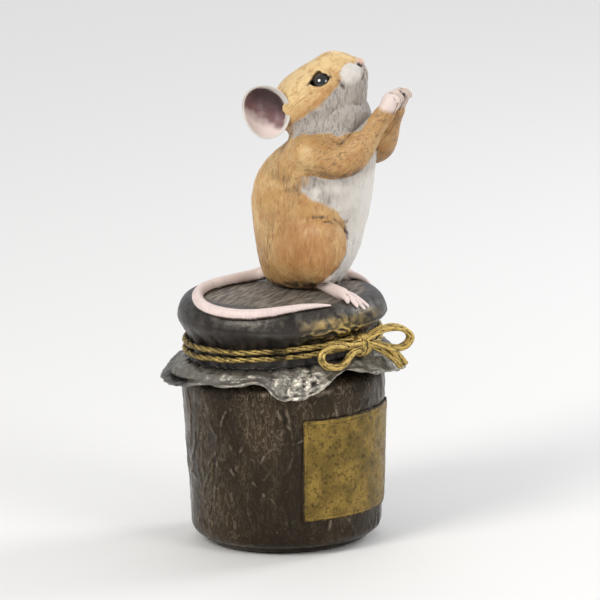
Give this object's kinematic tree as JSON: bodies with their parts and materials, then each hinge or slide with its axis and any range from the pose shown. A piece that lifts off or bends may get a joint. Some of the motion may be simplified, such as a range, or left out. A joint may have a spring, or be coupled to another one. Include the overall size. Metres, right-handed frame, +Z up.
{
  "type": "mouse figurine",
  "caption": "Painted cast figurine of a mouse sitting up with clasped paws on the cloth-covered lid of a small jam jar tied with twine, made to stand on a shelf as an ornament.",
  "frame": {"origin": "centre of the underside of the base pad, on the jar's axis", "axes": "+Z up along the jar's axis; the mouse faces -Y, so its right side is -X"},
  "size_m": [0.0527, 0.0577, 0.1086],
  "materials": {
    "jar_bronze": "dark patina under lacquer",
    "label_gold": "aged gold",
    "cover_patina": "charcoal patina, worn bright on the folds",
    "twine_gold": "gold with dark recesses",
    "fur_paint": "hand-painted, satin",
    "ear_paint": "hand-painted, satin",
    "skin_paint": "hand-painted, satin",
    "eye_black": "gloss",
    "felt": "felt",
    "steel": "plain"
  },
  "bodies": {
    "root": {"jar_shell": "jar_bronze", "base_plate": "jar_bronze", "base_pad": "felt", "label_plate": "label_gold", "cloth_cover": "cover_patina", "twine": "twine_gold", "bow_knot": "twine_gold", "bow_loop_left": "twine_gold", "bow_loop_right": "twine_gold", "bow_tail_left": "twine_gold", "bow_tail_right": "twine_gold", "mouse_torso": "fur_paint", "mouse_head": "fur_paint", "ear_left": "ear_paint", "ear_right": "ear_paint", "eye_left": "eye_black", "eye_right": "eye_black", "arm_left": "fur_paint", "arm_right": "fur_paint", "hind_foot_left": "skin_paint", "hind_foot_right": "skin_paint", "tail": "skin_paint", "mounting_stud": "steel", "stud_washer": "steel", "stud_nut": "steel", "neck_pin": "steel", "arm_pin_left": "steel", "arm_pin_right": "steel"}
  },
  "joints": []
}
